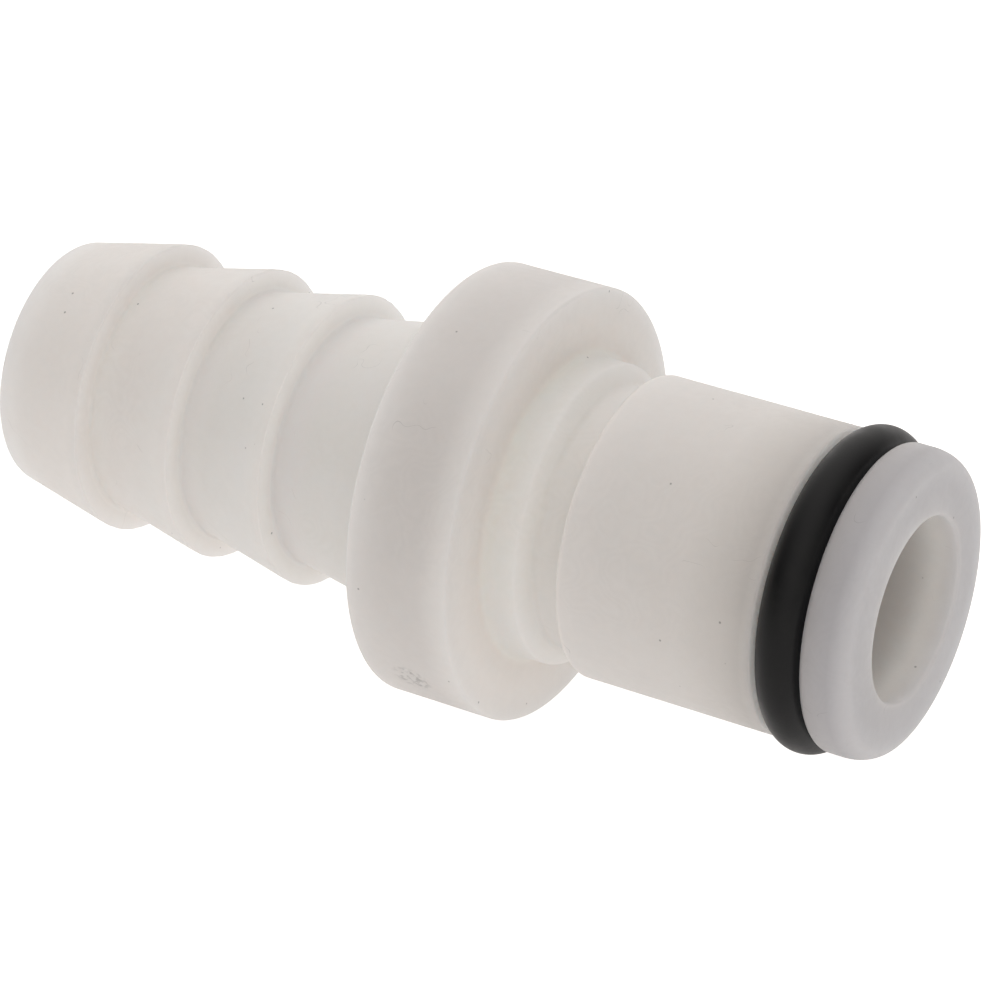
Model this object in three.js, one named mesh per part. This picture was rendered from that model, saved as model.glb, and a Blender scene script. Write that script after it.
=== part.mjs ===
// Coupling insert with a hose barb: one moulded body and the O-ring on its barrel.
// Millimetres. The flow axis is X, with the nose towards +X and the barb towards -X.
// Stations along the axis are measured from the collar's front face, positive towards the nose,
// and the whole part is then moved so that the origin is the middle of its length.

import * as THREE from "three";

// Bore and barrel
const BORE_R = 3.45;
const BARREL_R = 5.75;
const BARREL_START = 3.03;

// Nose, in front of the O-ring
const NOSE_END = 14.55;
const NOSE_ROUND_LENGTH = 1.05;
const NOSE_ROUND_DEPTH = 0.61;
const NOSE_RIM_CHAMFER = 0.08;

// O-ring and its groove
const O_RING_SECTION_R = 0.89;
const O_RING_GAP = 0.05;
const GROOVE_START = 10.87;
const GROOVE_WIDTH = 2 * (O_RING_SECTION_R + O_RING_GAP);
const GROOVE_FLOOR_R = 4.26;

// Collar, and the hub between it and the latch groove
const COLLAR_R = 8.25;
const COLLAR_LENGTH = 4.2;
const COLLAR_ROUND = 0.12;
const HUB_R = 5.72;
const HUB_LENGTH = 1.35;
const HUB_FILLET = 0.5;

// Latch groove, with a sloping front wall
const LATCH_FLOOR_R = 5.0;
const LATCH_FLOOR_START = 1.75;
const LATCH_CORNER = 0.15;

// Hose barb, and the neck that widens to the collar with the same taper
const NECK_R = 5.75;
const NECK_FILLET = 0.3;
const CREST_R = 5.67;
const CREST_COUNT = 3;
const CREST_PITCH = 4.1;
const LAST_CREST = -9.6;
const CREST_BACK = 0.1;
const CREST_LAND = 0.05;
const ROOT_R = 4.8;
const TAIL_END = -22.0;
const TAIL_R = 4.78;
const TAIL_ROUND = 0.25;
const TAIL_BORE_CHAMFER = 0.25;

const AROUND = 72;
const ARC_STEPS = 4;
const O_RING_STEPS = 24;
const MIDDLE = (TAIL_END + NOSE_END) / 2;

// A point of a turned outline: x is the radius and y the place along the axis.
function at(station, radius) {
  return new THREE.Vector2(radius, station - MIDDLE);
}

// An elliptical arc about a centre; angles are measured from the axis direction towards the radius.
function arc(station, radius, halfLength, halfDepth, fromDegrees, toDegrees, steps = ARC_STEPS) {
  const points = [];
  for (let i = 0; i <= steps; i++) {
    const angle = THREE.MathUtils.degToRad(fromDegrees + ((toDegrees - fromDegrees) * i) / steps);
    points.push(at(station + halfLength * Math.cos(angle), radius + halfDepth * Math.sin(angle)));
  }
  return points;
}

// Revolves a closed outline and lays its axis along X.
function turned(name, outline, material) {
  const geometry = new THREE.LatheGeometry([...outline, outline[0]], AROUND);
  const mesh = new THREE.Mesh(geometry, material);
  mesh.name = name;
  mesh.rotation.z = -Math.PI / 2;
  return mesh;
}

// The barb's outside, from its rounded mouth over each crest to the foot of the neck.
function barbOutline() {
  const outline = [...arc(TAIL_END + TAIL_ROUND, TAIL_R - TAIL_ROUND, TAIL_ROUND, TAIL_ROUND, 180, 90)];
  for (let i = CREST_COUNT - 1; i >= 0; i--) {
    const crest = LAST_CREST - i * CREST_PITCH;
    outline.push(at(crest - CREST_LAND, CREST_R), at(crest, CREST_R - CREST_LAND));
    outline.push(at(crest + CREST_BACK, ROOT_R));
  }
  return outline;
}

// The collar with rounded edges, from the neck's fillet to the hub's fillet.
function collarOutline() {
  const back = -COLLAR_LENGTH;
  const roundR = COLLAR_R - COLLAR_ROUND;
  return [
    ...arc(back - NECK_FILLET, NECK_R + NECK_FILLET, NECK_FILLET, NECK_FILLET, -90, 0),
    ...arc(back + COLLAR_ROUND, roundR, COLLAR_ROUND, COLLAR_ROUND, 180, 90),
    ...arc(-COLLAR_ROUND, roundR, COLLAR_ROUND, COLLAR_ROUND, 90, 0),
    ...arc(HUB_FILLET, HUB_R + HUB_FILLET, HUB_FILLET, HUB_FILLET, 180, 270),
  ];
}

// The hub's edge, the latch groove and the barrel as far as the O-ring.
function barrelOutline() {
  return [
    at(HUB_LENGTH - LATCH_CORNER, HUB_R),
    at(HUB_LENGTH, HUB_R - LATCH_CORNER),
    at(LATCH_FLOOR_START, LATCH_FLOOR_R),
    at(BARREL_START, LATCH_FLOOR_R),
    at(BARREL_START, BARREL_R - LATCH_CORNER),
    at(BARREL_START + LATCH_CORNER, BARREL_R),
    at(GROOVE_START, BARREL_R),
    at(GROOVE_START, GROOVE_FLOOR_R),
    at(GROOVE_START + GROOVE_WIDTH, GROOVE_FLOOR_R),
    at(GROOVE_START + GROOVE_WIDTH, BARREL_R),
  ];
}

// The rounded nose, and the bore back to the barb's mouth.
function noseAndBoreOutline() {
  const roundStart = NOSE_END - NOSE_ROUND_LENGTH;
  const faceR = BARREL_R - NOSE_ROUND_DEPTH;
  return [
    ...arc(roundStart, faceR, NOSE_ROUND_LENGTH, NOSE_ROUND_DEPTH, 90, 0, 2 * ARC_STEPS),
    at(NOSE_END, BORE_R + NOSE_RIM_CHAMFER),
    at(NOSE_END - NOSE_RIM_CHAMFER, BORE_R),
    at(TAIL_END + TAIL_BORE_CHAMFER, BORE_R),
    at(TAIL_END, BORE_R + TAIL_BORE_CHAMFER),
  ];
}

function makeInsertBody() {
  const polypropylene = new THREE.MeshStandardMaterial({
    color: 0xe2dfda,
    roughness: 0.42,
    metalness: 0,
  });
  const outline = [
    ...barbOutline(),
    ...collarOutline(),
    ...barrelOutline(),
    ...noseAndBoreOutline(),
  ];
  return turned("insert_body", outline, polypropylene);
}

function makeBarrelORing() {
  const rubber = new THREE.MeshStandardMaterial({ color: 0x1c1c1d, roughness: 0.5, metalness: 0 });
  const centreStation = GROOVE_START + GROOVE_WIDTH / 2;
  const centreR = GROOVE_FLOOR_R + O_RING_GAP + O_RING_SECTION_R;
  const loop = arc(centreStation, centreR, O_RING_SECTION_R, O_RING_SECTION_R, 180, -180, O_RING_STEPS);
  return turned("barrel_o_ring", loop.slice(0, -1), rubber);
}

const insert = new THREE.Group();
insert.add(makeInsertBody(), makeBarrelORing());

export default insert;
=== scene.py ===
import math

import bpy
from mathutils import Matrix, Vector, noise


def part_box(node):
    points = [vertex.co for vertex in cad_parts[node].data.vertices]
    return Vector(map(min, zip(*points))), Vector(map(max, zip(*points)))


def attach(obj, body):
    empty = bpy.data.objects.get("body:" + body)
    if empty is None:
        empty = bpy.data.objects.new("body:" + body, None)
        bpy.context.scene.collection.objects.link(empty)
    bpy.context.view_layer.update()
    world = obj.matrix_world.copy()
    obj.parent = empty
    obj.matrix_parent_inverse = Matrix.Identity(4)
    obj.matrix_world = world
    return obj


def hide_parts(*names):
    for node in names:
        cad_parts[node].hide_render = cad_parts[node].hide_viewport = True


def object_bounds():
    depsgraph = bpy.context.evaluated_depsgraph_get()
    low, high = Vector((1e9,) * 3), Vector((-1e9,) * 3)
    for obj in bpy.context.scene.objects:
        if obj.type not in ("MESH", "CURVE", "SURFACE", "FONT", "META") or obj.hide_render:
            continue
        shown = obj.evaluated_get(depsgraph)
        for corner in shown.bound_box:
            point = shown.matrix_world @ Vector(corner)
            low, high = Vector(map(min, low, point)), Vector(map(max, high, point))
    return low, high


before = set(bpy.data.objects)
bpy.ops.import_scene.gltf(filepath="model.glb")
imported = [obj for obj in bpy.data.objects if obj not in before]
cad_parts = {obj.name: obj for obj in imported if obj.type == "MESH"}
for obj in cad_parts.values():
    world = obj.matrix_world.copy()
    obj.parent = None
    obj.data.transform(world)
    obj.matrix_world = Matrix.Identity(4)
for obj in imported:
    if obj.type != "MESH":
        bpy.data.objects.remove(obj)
cad_low, cad_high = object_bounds()
body_low, body_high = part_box("insert_body")
ring_low, ring_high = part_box("barrel_o_ring")

# A quick-disconnect coupling insert with a hose barb: one turned moulding and its O-ring.
# Sizes are in millimetres. Stations run along X towards the nose, and radii are from the X axis.
# The two ends, the collar's radius and the ring come from the frame.
MM = 0.001
AROUND = 400

TAIL = body_low.x / MM
NOSE = body_high.x / MM
COLLAR_R = body_high.z / MM
RING_R = ring_high.z / MM
RING_START = ring_low.x / MM
RING_END = ring_high.x / MM
RING_SECTION_R = (RING_END - RING_START) / 2
RING_CLEARANCE = 0.05

# Nose, collar, hub and latch groove
NOSE_LENGTH = 14.55
NOSE_ROUND_LENGTH = 1.05
NOSE_ROUND_DEPTH = 0.61
COLLAR_FRONT = NOSE - NOSE_LENGTH
COLLAR_BACK = COLLAR_FRONT - 4.2
COLLAR_ROUND = 0.12
HUB_END = COLLAR_FRONT + 1.35
HUB_R = 5.72
HUB_FILLET = 0.5
HUB_ROUND = 0.2
LATCH_FLOOR_START = COLLAR_FRONT + 1.75
LATCH_FLOOR_R = 5.0
LATCH_FRONT_FILLET = 0.3
LATCH_BACK_FILLET = 0.2

# Barrel, with the O-ring's groove, and bore
BARREL_START = COLLAR_FRONT + 3.03
BARREL_R = 5.75
BARREL_ROUND = 0.14
GROOVE_START = RING_START - RING_CLEARANCE
GROOVE_END = RING_END + RING_CLEARANCE
GROOVE_FLOOR_R = RING_R - 2 * RING_SECTION_R - RING_CLEARANCE
GROOVE_FILLET = 0.15
GROOVE_REAR_ROUND = 0.08
GROOVE_FRONT_ROUND = 0.25
BORE_R = 3.45
BORE_MOUTH_ROUND = 0.12

# Hose barb and neck
NECK_R = 5.75
NECK_FILLET = 0.3
ROOT_R = 4.8
FOOT_FILLET = 0.15
CREST_R = 5.68
CREST_BACK = 0.1
CREST_ROUND = 0.06
CREST_PITCH = 4.1
CRESTS = [COLLAR_FRONT - 9.6 - CREST_PITCH * i for i in range(3)]
TAIL_R = 4.77
TAIL_ROUND = 0.28
TAIL_BORE_CHAMFER = 0.25
TAIL_BORE_ROUND = 0.2

# Wear: each depth is how far the surface is worn in
GATE_MARK = Vector((1.5, -6.93, -4.48))
GATE_MARK_R = 0.9
GATE_PIT_DEPTH = 0.07
WAVINESS = 0.006
CREST_WEAR_REACH = 0.25
CREST_WEAR = 0.012
CREST_NICK_DEPTH = 0.035
RING_UNEVENNESS = 0.008


# ---------------------------------------------------------------- turned shapes

def fillet(before, corner, after, size, steps=10):
    """Points of an arc of radius size that touches both sides of a corner."""
    back = (before - corner).normalized()
    ahead = (after - corner).normalized()
    half = back.angle(ahead) / 2
    centre = corner + (back + ahead).normalized() * (size / math.sin(half))
    first = corner + back * (size / math.tan(half)) - centre
    last = corner + ahead * (size / math.tan(half)) - centre
    turn = math.atan2(first.x * last.y - first.y * last.x, first.dot(last))
    points = []
    for i in range(steps + 1):
        c, s = math.cos(turn * i / steps), math.sin(turn * i / steps)
        points.append(centre + Vector((first.x * c - first.y * s, first.x * s + first.y * c)))
    return points


def outline_of(corners, spacing=0.3):
    """A closed outline from corners (station, radius, round). A round of 0 keeps the corner as it
    is, and long sides get points in between."""
    places = [Vector(c[:2]) for c in corners]
    arcs = []
    for i, (_, _, size) in enumerate(corners):
        if size > 0:
            arcs.append(fillet(places[i - 1], places[i], places[(i + 1) % len(places)], size))
        else:
            arcs.append([places[i]])
    outline = []
    for i, points in enumerate(arcs):
        outline += points
        start, end = points[-1], arcs[(i + 1) % len(arcs)][0]
        pieces = max(1, round((end - start).length / spacing))
        outline += [start.lerp(end, k / pieces) for k in range(1, pieces)]
    return outline


def ellipse_corners(station, radius, half_length, half_depth, start, end, steps):
    """Plain corners along an elliptical arc, with angles in degrees from the axis to the radius."""
    corners = []
    for i in range(steps + 1):
        a = math.radians(start + (end - start) * i / steps)
        corners.append((station + half_length * math.cos(a), radius + half_depth * math.sin(a), 0))
    return corners


def revolve(name, outline, wear):
    """A closed turned body about X. wear(station, radius, direction) is added to each radius."""
    vertices = []
    for i in range(AROUND):
        angle = 2 * math.pi * i / AROUND
        y, z = math.cos(angle), math.sin(angle)
        for station, radius in outline:
            r = radius + wear(station, radius, Vector((0, y, z)))
            vertices.append((station * MM, r * y * MM, r * z * MM))
    n = len(outline)
    faces = []
    for i in range(AROUND):
        j = (i + 1) % AROUND
        for k in range(n):
            m = (k + 1) % n
            faces.append((i * n + k, i * n + m, j * n + m, j * n + k))
    mesh = bpy.data.meshes.new(name)
    mesh.from_pydata(vertices, [], faces)
    mesh.polygons.foreach_set("use_smooth", [True] * len(mesh.polygons))
    piece = bpy.data.objects.new(name, mesh)
    bpy.context.scene.collection.objects.link(piece)
    weighted = piece.modifiers.new("flat_faces_stay_flat", "WEIGHTED_NORMAL")
    weighted.mode = "FACE_AREA"
    weighted.weight = 100
    return piece


def body_outline():
    """The moulding's outline: barb, collar, barrel, nose, and back along the bore."""
    corners = [(TAIL, BORE_R + TAIL_BORE_CHAMFER, 0), (TAIL, TAIL_R, TAIL_ROUND)]
    for crest in reversed(CRESTS):
        corners.append((crest, CREST_R, CREST_ROUND))
        corners.append((crest + CREST_BACK, ROOT_R, FOOT_FILLET))
    corners += [(COLLAR_BACK, NECK_R, NECK_FILLET), (COLLAR_BACK, COLLAR_R, COLLAR_ROUND)]
    corners += gate_mark_corners()
    corners += [
        (COLLAR_FRONT, COLLAR_R, COLLAR_ROUND),
        (COLLAR_FRONT, HUB_R, HUB_FILLET),
        (HUB_END, HUB_R, HUB_ROUND),
        (LATCH_FLOOR_START, LATCH_FLOOR_R, LATCH_FRONT_FILLET),
        (BARREL_START, LATCH_FLOOR_R, LATCH_BACK_FILLET),
        (BARREL_START, BARREL_R, BARREL_ROUND),
        (GROOVE_START, BARREL_R, GROOVE_REAR_ROUND),
        (GROOVE_START, GROOVE_FLOOR_R, GROOVE_FILLET),
        (GROOVE_END, GROOVE_FLOOR_R, GROOVE_FILLET),
        (GROOVE_END, BARREL_R, GROOVE_FRONT_ROUND),
    ]
    corners += ellipse_corners(
        NOSE - NOSE_ROUND_LENGTH, BARREL_R - NOSE_ROUND_DEPTH,
        NOSE_ROUND_LENGTH, NOSE_ROUND_DEPTH, 90, 0, 20)
    corners += [(NOSE, BORE_R, BORE_MOUTH_ROUND), (TAIL, BORE_R, TAIL_BORE_ROUND)]
    return outline_of(corners)


def gate_mark_corners(steps=16):
    """Close points across the gate mark, so that its pits have enough mesh."""
    return [(GATE_MARK.x + GATE_MARK_R * (2 * i / steps - 1), COLLAR_R, 0)
            for i in range(steps + 1)]


def body_wear(station, radius, direction):
    """Slight waviness all over, worn and nicked barb crests, and the rough mark where the gate was
    cut off. It never goes outwards, and the bore stays clean."""
    if radius <= BORE_R + 0.5:
        return 0.0
    place = Vector((station, 0, 0)) + direction * radius
    depth = WAVINESS * (1 + noise.noise(place * 0.35))
    from_gate = (place - GATE_MARK).length / GATE_MARK_R
    if from_gate < 1:
        pit = max(0.0, 0.35 + noise.noise(place * 4.5))
        depth += GATE_PIT_DEPTH * (1 - from_gate ** 4) * pit
    for crest in CRESTS:
        near = max(0.0, 1 - abs(station - crest) / CREST_WEAR_REACH)
        nick = max(0.0, noise.noise(place * 2.3))
        depth += near * CREST_NICK_DEPTH * nick + near * CREST_WEAR
    return -depth


def ring_outline():
    """The ring's round section."""
    centre_r = RING_R - RING_SECTION_R
    centre = (RING_START + RING_END) / 2
    corners = ellipse_corners(centre, centre_r, RING_SECTION_R, RING_SECTION_R, 180, -180, 72)
    return [Vector(c[:2]) for c in corners[:-1]]


def ring_wear(station, radius, direction):
    """Uneven stretch round the ring."""
    return -RING_UNEVENNESS * (1 + noise.noise(direction * 1.7))


# ---------------------------------------------------------------- materials

# The plastic's tone along the part, with light and shade painted into it. Light comes through the
# thin walls of the barb and the latch groove, so they are painted paler than the thick collar:
# painted light. The black ring takes light from the plastic beside it, and the nose in front of it
# is painted greyer: painted shade.
THIN_WALL_TONE_WITH_PAINTED_LIGHT = (0.999, 0.944, 0.893)
WALL_TONES_WITH_PAINTED_LIGHT_AND_SHADE = [
    (TAIL, (0.885, 0.845, 0.808)),
    (CRESTS[2], (0.91, 0.868, 0.828)),
    (CRESTS[0] - 1.0, (0.992, 0.943, 0.893)),
    (COLLAR_BACK - 0.5, (0.999, 0.943, 0.887)),
    (COLLAR_BACK + 0.4, (0.815, 0.784, 0.76)),
    (COLLAR_FRONT - 1.2, (0.797, 0.767, 0.743)),
    (COLLAR_FRONT, (0.88, 0.852, 0.822)),
    (COLLAR_FRONT + 0.15, THIN_WALL_TONE_WITH_PAINTED_LIGHT),
    (BARREL_START - 0.1, THIN_WALL_TONE_WITH_PAINTED_LIGHT),
    (BARREL_START + 0.2, (0.83, 0.805, 0.78)),
    (GROOVE_START - 3.0, (0.81, 0.78, 0.75)),
    (GROOVE_START - 0.5, (0.68, 0.65, 0.617)),
    (GROOVE_START - 0.2, (0.785, 0.75, 0.71)),
    (GROOVE_START, (0.92, 0.88, 0.83)),
    (GROOVE_END, (0.56, 0.548, 0.555)),
    (NOSE - 0.7, (0.49, 0.477, 0.49)),
    (NOSE, (0.61, 0.598, 0.61)),
]
# Painted light: deeper in than its mouth, the bore wall takes this paler tone.
BORE_TONE_WITH_PAINTED_LIGHT = (0.965, 0.93, 0.885)

# Each mark is a factor on the tone, and these say how far it goes from 1. The collar rim's and the
# barb lip's are painted shade, the barb foot's is painted light.
COLLAR_RIM_PAINTED_SHADE = 0.065
FOOT_PAINTED_LIGHT = 0.055
LIP_PAINTED_SHADE = 0.05
SPECK_DARKER = 0.48
HAIR_DARKER = 0.22
FLOW_MARK_DARKER = 0.035
GATE_DIRT_DARKER = 0.3


class Nodes:
    """A short way to add and join shader nodes in one material or world."""

    def __init__(self, owner):
        owner.use_nodes = True
        self.tree = owner.node_tree
        self.tree.nodes.clear()

    def add(self, kind, inputs=(), **settings):
        node = self.tree.nodes.new(kind)
        for key, value in settings.items():
            setattr(node, key, value)
        for key, value in dict(inputs).items():
            if isinstance(value, bpy.types.NodeSocket):
                self.tree.links.new(value, node.inputs[key])
            else:
                node.inputs[key].default_value = value
        return node

    def math(self, operation, a, b=0.0, c=0.0):
        return self.add("ShaderNodeMath", {0: a, 1: b, 2: c}, operation=operation).outputs[0]

    def vector(self, operation, a, b=(0, 0, 0)):
        node = self.add("ShaderNodeVectorMath", {0: a, 1: b}, operation=operation)
        scalar = operation in ("LENGTH", "DISTANCE", "DOT_PRODUCT")
        return node.outputs["Value" if scalar else "Vector"]

    def noise(self, vector, scale, detail=2.0, roughness=0.5):
        node = self.add("ShaderNodeTexNoise", {
            "Vector": vector, "Scale": scale, "Detail": detail, "Roughness": roughness})
        return node.outputs["Fac"]

    def ramp(self, value, low, high, to_low=0.0, to_high=1.0):
        node = self.add("ShaderNodeMapRange", {
            "Value": value, "From Min": low, "From Max": high, "To Min": to_low, "To Max": to_high},
            interpolation_type="SMOOTHSTEP")
        return node.outputs["Result"]

    def linear(self, value, low, high):
        node = self.add("ShaderNodeMapRange", {"Value": value, "From Min": low, "From Max": high})
        return node.outputs["Result"]

    def mix(self, factor, a, b):
        node = self.add("ShaderNodeMix", {"Factor": factor, 6: a, 7: b}, data_type="RGBA")
        return node.outputs[2]


def millimetres(n):
    """Object coordinates in millimetres, the same frame as the part."""
    place = n.add("ShaderNodeTexCoord").outputs["Object"]
    return n.vector("MULTIPLY", place, (1000, 1000, 1000))


def wall_tone_with_painted_light_and_shade(n, station):
    """The plastic's tone at a station, with its painted light and shade, from the table of tones
    above.
    """
    ramp = n.add("ShaderNodeValToRGB", {0: n.linear(station, TAIL, NOSE)})
    elements = ramp.color_ramp.elements
    while len(elements) < len(WALL_TONES_WITH_PAINTED_LIGHT_AND_SHADE):
        elements.new(1.0)
    for element, (place, tone) in zip(elements, WALL_TONES_WITH_PAINTED_LIGHT_AND_SHADE):
        element.position = (place - TAIL) / (NOSE - TAIL)
        element.color = (*tone, 1)
    return ramp.outputs[0]


def collar_rim_painted_shade(n, radius):
    """Painted shade: the collar's outside is darker than its front face."""
    return n.ramp(radius, COLLAR_R - 1.3, COLLAR_R - 0.1, 1.0, 1 - COLLAR_RIM_PAINTED_SHADE)


def barb_edge_painted_light_and_shade(n, station, radius):
    """Painted light and shade: the foot of each step is a little paler than the cones, and the lip
    a little darker.
    """
    foot = n.ramp(radius, ROOT_R + 0.05, ROOT_R + 0.3, FOOT_PAINTED_LIGHT, 0.0)
    lip = n.ramp(radius, CREST_R - 0.14, CREST_R - 0.02, 0.0, -LIP_PAINTED_SHADE)
    on_barb = n.ramp(station, COLLAR_BACK - 0.2, COLLAR_BACK - 1.5)
    return n.math("MULTIPLY_ADD", n.math("ADD", foot, lip), on_barb, 1.0)


def dust(n, place):
    """Dark specks about 0.1 mm wide, caught in the surface here and there."""
    near = n.add("ShaderNodeTexVoronoi", {"Vector": place, "Scale": 0.75}).outputs["Distance"]
    return n.ramp(near, 0.022, 0.045, 1 - SPECK_DARKER, 1.0)


def hairs(n, place):
    """Thin curly scratches: contour lines of one noise, kept only where another one is high."""
    from_line = n.math("ABSOLUTE", n.math("SUBTRACT", n.noise(place, 0.9, 1.0), 0.5))
    line = n.math("SUBTRACT", n.ramp(from_line, 0.0, 0.006), 1.0)
    kept = n.ramp(n.noise(place, 0.55, 1.0), 0.64, 0.70)
    return n.math("MULTIPLY_ADD", n.math("MULTIPLY", line, kept), HAIR_DARKER, 1.0)


def flow_marks(n, place):
    """Faint wavy bands in patches, where the plastic froze while it still flowed."""
    bands = n.math("PINGPONG", n.math("MULTIPLY", n.noise(place, 0.5, 1.5), 14.0), 0.5)
    patches = n.ramp(n.noise(place, 0.16, 1.0), 0.48, 0.6)
    return n.math("MULTIPLY_ADD", n.math("MULTIPLY", bands, patches), -FLOW_MARK_DARKER, 1.0)


def gate_dirt(n, place):
    """Patchy dirt on the gate mark."""
    patches = n.ramp(n.noise(place, 4.2, 2.5), 0.47, 0.62)
    on_mark = n.ramp(n.vector("DISTANCE", place, GATE_MARK), GATE_MARK_R, 0.5 * GATE_MARK_R)
    return n.math("MULTIPLY_ADD", n.math("MULTIPLY", on_mark, patches), -GATE_DIRT_DARKER, 1.0)


def polypropylene():
    """Natural polypropylene: milky, satin, with moulding and handling marks, and with light and
    shade painted into its tone.
    """
    material = bpy.data.materials.new("natural_polypropylene")
    n = Nodes(material)
    place = millimetres(n)
    split = n.add("ShaderNodeSeparateXYZ", {0: place})
    station = split.outputs["X"]
    across = n.add("ShaderNodeCombineXYZ", {"Y": split.outputs["Y"], "Z": split.outputs["Z"]})
    radius = n.vector("LENGTH", across.outputs[0])

    cloud = n.noise(place, 0.22, 3.0)
    mottle = n.noise(place, 2.6, 4.0, 0.6)
    shade = n.math("MULTIPLY", n.ramp(cloud, 0.35, 0.65, 1.0, 0.98),
                   n.ramp(mottle, 0.3, 0.7, 1.0, 0.985))
    # The collar rim and barb edge marks are painted light and shade; dust, hairs, flow marks and
    # gate dirt are marks on the plastic.
    for mark in (collar_rim_painted_shade(n, radius), barb_edge_painted_light_and_shade(n, station, radius), dust(n, place),
                 hairs(n, place), flow_marks(n, place), gate_dirt(n, place)):
        shade = n.math("MULTIPLY", shade, mark)

    # Painted light: the bore wall is painted paler deep inside than at its mouth.
    in_bore = n.math("MULTIPLY", n.ramp(radius, BORE_R + 0.3, BORE_R + 0.02),
                     n.ramp(station, NOSE + 0.3, NOSE - 1.2))
    tone = n.mix(in_bore, wall_tone_with_painted_light_and_shade(n, station), (*BORE_TONE_WITH_PAINTED_LIGHT, 1))

    grain = n.noise(place, 9.0, 3.0, 0.6)
    height = n.math("ADD", n.math("MULTIPLY", grain, 0.35), mottle)
    bump = n.add("ShaderNodeBump", {"Height": height, "Strength": 0.35, "Distance": 0.012 * MM})
    shader = n.add("ShaderNodeBsdfPrincipled", {
        "Base Color": n.vector("MULTIPLY", tone, shade),
        "Roughness": n.ramp(mottle, 0.3, 0.7, 0.36, 0.46),
        "Normal": bump.outputs[0],
        "IOR": 1.49,
        "Specular IOR Level": 0.4,
        "Subsurface Weight": 1.0,
        "Subsurface Radius": (0.88, 0.96, 1.0),
        "Subsurface Scale": 3.6 * MM,
    })
    n.add("ShaderNodeOutputMaterial", {"Surface": shader.outputs[0]})
    return material


def rubber():
    """Black rubber with a faint grey bloom."""
    material = bpy.data.materials.new("black_rubber")
    n = Nodes(material)
    place = millimetres(n)
    bloom = n.noise(place, 0.8, 4.0, 0.6)
    grain = n.noise(place, 14.0, 3.0, 0.6)
    clean, bloomed = (0.0045, 0.0045, 0.005, 1), (0.007, 0.007, 0.007, 1)
    bump = n.add("ShaderNodeBump", {"Height": grain, "Strength": 0.3, "Distance": 0.01 * MM})
    shader = n.add("ShaderNodeBsdfPrincipled", {
        "Base Color": n.mix(n.ramp(bloom, 0.45, 0.7), clean, bloomed),
        "Roughness": n.ramp(bloom, 0.3, 0.7, 0.3, 0.42),
        "Normal": bump.outputs[0],
        "IOR": 1.5,
        "Specular IOR Level": 0.25,
    })
    n.add("ShaderNodeOutputMaterial", {"Surface": shader.outputs[0]})
    return material


# ---------------------------------------------------------------- studio

AZIMUTH = math.radians(30.56)
ELEVATION = math.radians(30.0)
TOWARDS_CAMERA = Vector((
    math.sin(AZIMUTH) * math.cos(ELEVATION),
    -math.cos(AZIMUTH) * math.cos(ELEVATION),
    math.sin(ELEVATION)))
PICTURE_UP = (Vector((0, 0, 1)) - TOWARDS_CAMERA * TOWARDS_CAMERA.z).normalized()
CAMERA_AIM = Vector((1.03, 0.18, -0.64))
CAMERA_DISTANCE = 171.5
CAMERA_LENS = 166.2

LIGHT_COLOUR = (1.0, 0.97, 0.95)
TENT_SIDES = [(TOWARDS_CAMERA, 0.83), (PICTURE_UP, 1.14), (-TOWARDS_CAMERA, 1.03)]
BACKDROP_STRENGTH = 1.1
FLOOR_GLOW = 0.44
FLOOR_GLOW_SEEN = 0.5
FLOOR_SIZE = 4.0


def add_camera():
    data = bpy.data.cameras.new("camera")
    data.sensor_width = 36
    data.lens = CAMERA_LENS
    data.clip_start = 0.01
    data.clip_end = 20
    camera = bpy.data.objects.new("camera", data)
    bpy.context.scene.collection.objects.link(camera)
    camera.location = CAMERA_AIM * MM + TOWARDS_CAMERA * CAMERA_DISTANCE * MM
    camera.rotation_mode = "QUATERNION"
    camera.rotation_quaternion = (-TOWARDS_CAMERA).to_track_quat("-Z", "Y")
    bpy.context.scene.camera = camera


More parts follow.
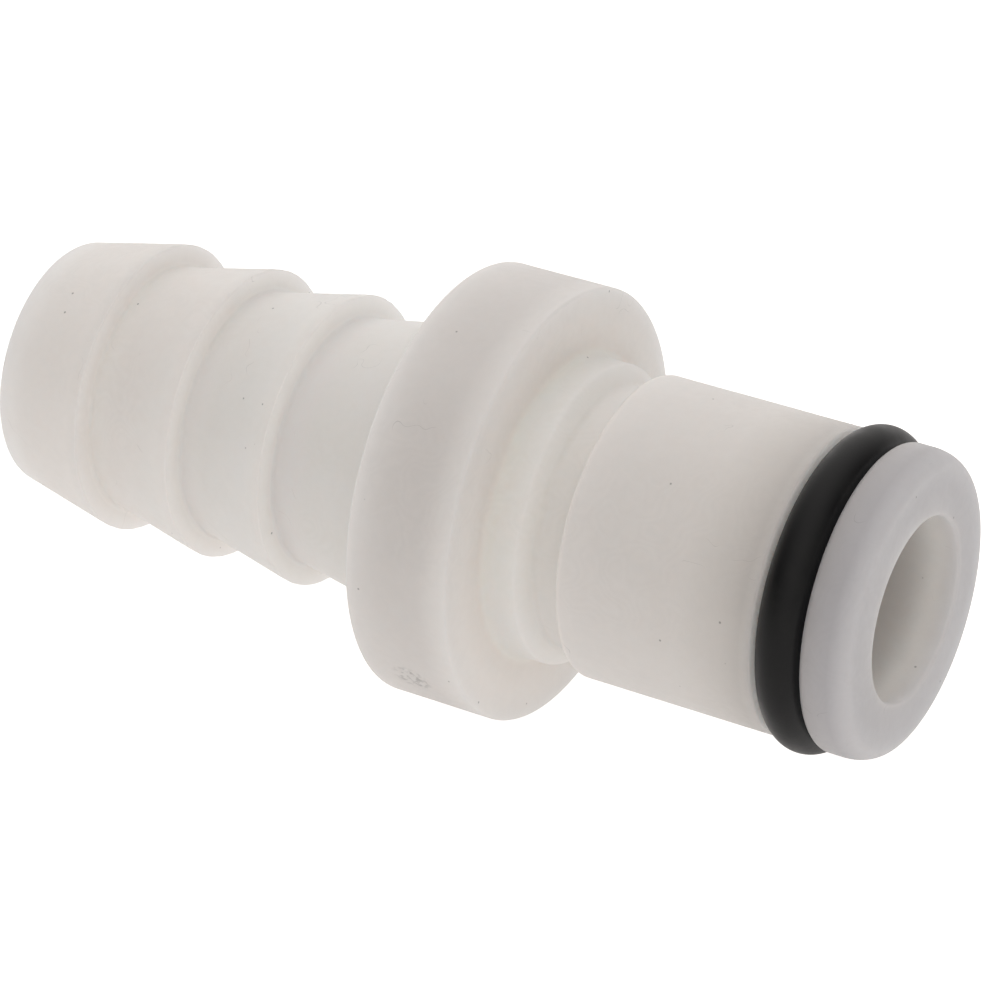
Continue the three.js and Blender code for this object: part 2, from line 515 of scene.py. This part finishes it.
def add_floor():
    """A pale translucent table lit from below, seen as plain white by the camera."""
    mesh = bpy.data.meshes.new("floor")
    z = cad_low.z
    corners = [(x * FLOOR_SIZE, y * FLOOR_SIZE, z) for x, y in ((-1, -1), (1, -1), (1, 1), (-1, 1))]
    mesh.from_pydata(corners, [], [(0, 1, 2, 3)])
    floor = bpy.data.objects.new("floor", mesh)
    bpy.context.scene.collection.objects.link(floor)
    material = bpy.data.materials.new("floor")
    n = Nodes(material)
    seen = n.add("ShaderNodeLightPath").outputs["Is Camera Ray"]
    shader = n.add("ShaderNodeBsdfPrincipled", {
        "Base Color": (0.55, 0.55, 0.55, 1),
        "Roughness": 0.9,
        "Specular IOR Level": 0.0,
        "Emission Color": (*LIGHT_COLOUR, 1),
        "Emission Strength": n.math("MULTIPLY_ADD", seen, FLOOR_GLOW_SEEN, FLOOR_GLOW),
    })
    n.add("ShaderNodeOutputMaterial", {"Surface": shader.outputs[0]})
    mesh.materials.append(material)


def add_tent():
    """A white tent all round, darker at its open front, with a plain pale background."""
    world = bpy.data.worlds.new("tent")
    bpy.context.scene.world = world
    n = Nodes(world)
    direction = n.add("ShaderNodeTexCoord").outputs["Generated"]
    strength = 0.0
    for towards, power in TENT_SIDES:
        facing = n.math("MAXIMUM", n.vector("DOT_PRODUCT", direction, towards), 0.0)
        glow = n.math("MULTIPLY", n.math("MULTIPLY", facing, facing), power)
        strength = n.math("ADD", glow, strength)
    light = n.add("ShaderNodeBackground", {"Color": (*LIGHT_COLOUR, 1), "Strength": strength})
    backdrop = n.add("ShaderNodeBackground", {"Color": (1, 1, 1, 1), "Strength": BACKDROP_STRENGTH})
    seen = n.add("ShaderNodeLightPath").outputs["Is Camera Ray"]
    both = n.add("ShaderNodeMixShader", {0: seen, 1: light.outputs[0], 2: backdrop.outputs[0]})
    n.add("ShaderNodeOutputWorld", {"Surface": both.outputs[0]})


def stand_for(piece, node, material):
    """Put a piece on the body in place of a CAD node, with its material."""
    piece.data.materials.append(material)
    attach(piece, "root")
    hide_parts(node)


stand_for(revolve("moulded_body", body_outline(), body_wear),
          "insert_body", polypropylene())
stand_for(revolve("sealing_ring", ring_outline(), ring_wear),
          "barrel_o_ring", rubber())
add_camera()
add_floor()
add_tent()
bpy.context.scene.view_settings.view_transform = "Standard"
